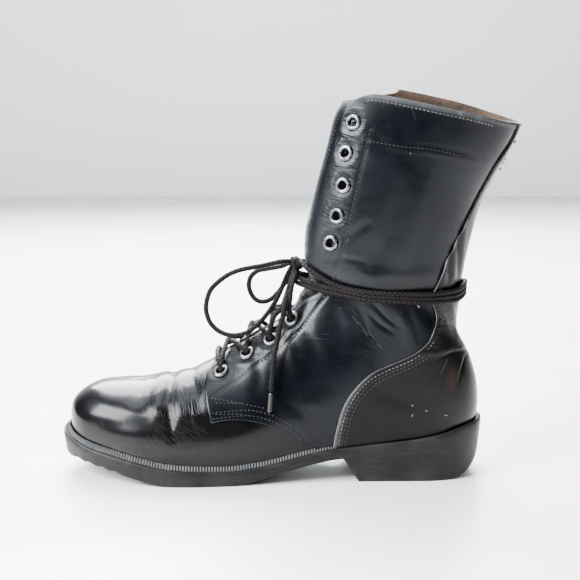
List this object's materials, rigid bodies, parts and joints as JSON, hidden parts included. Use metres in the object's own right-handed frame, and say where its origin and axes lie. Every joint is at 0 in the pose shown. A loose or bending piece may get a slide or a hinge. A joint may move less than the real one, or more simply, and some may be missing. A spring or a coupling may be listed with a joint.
{
  "type": "combat boot",
  "caption": "Left lace-up combat boot in black leather: hollow upper with high shaft, open throat and collar, counter with backstay, ribbed welt and moulded rubber sole.",
  "frame": {"origin": "point on the heel's flat ground face, on the middle line under the shaft", "axes": "toe towards -X, heel +X, outer side of the foot -Y, inner side +Y, up +Z"},
  "size_m": [0.3301, 0.1094, 0.2772],
  "materials": {
    "leather": "polished black, worn",
    "rubber": "matt black",
    "insole": "worn tan leather board",
    "eyelet": "black enamel over pressed metal, worn bright at the rim",
    "lace": "braided dark brown-black cord",
    "aglet": "clear dark tube"
  },
  "bodies": {
    "root": {"outsole": "rubber", "welt": "rubber", "upper": "leather", "counter_backstay": "leather", "insole": "insole", "tongue": "leather", "eyelet_outer_1": "eyelet", "eyelet_outer_2": "eyelet", "eyelet_outer_3": "eyelet", "eyelet_outer_4": "eyelet", "eyelet_outer_5": "eyelet", "eyelet_outer_6": "eyelet", "eyelet_outer_7": "eyelet", "eyelet_outer_8": "eyelet", "eyelet_outer_9": "eyelet", "eyelet_inner_1": "eyelet", "eyelet_inner_2": "eyelet", "eyelet_inner_3": "eyelet", "eyelet_inner_4": "eyelet", "eyelet_inner_5": "eyelet", "eyelet_inner_6": "eyelet", "eyelet_inner_7": "eyelet", "eyelet_inner_8": "eyelet", "eyelet_inner_9": "eyelet", "lace_bars": "lace", "lace_wrap": "lace", "lace_knot": "lace", "lace_loop_large": "lace", "lace_loop_small": "lace", "lace_end": "lace", "aglet": "aglet"}
  },
  "joints": []
}
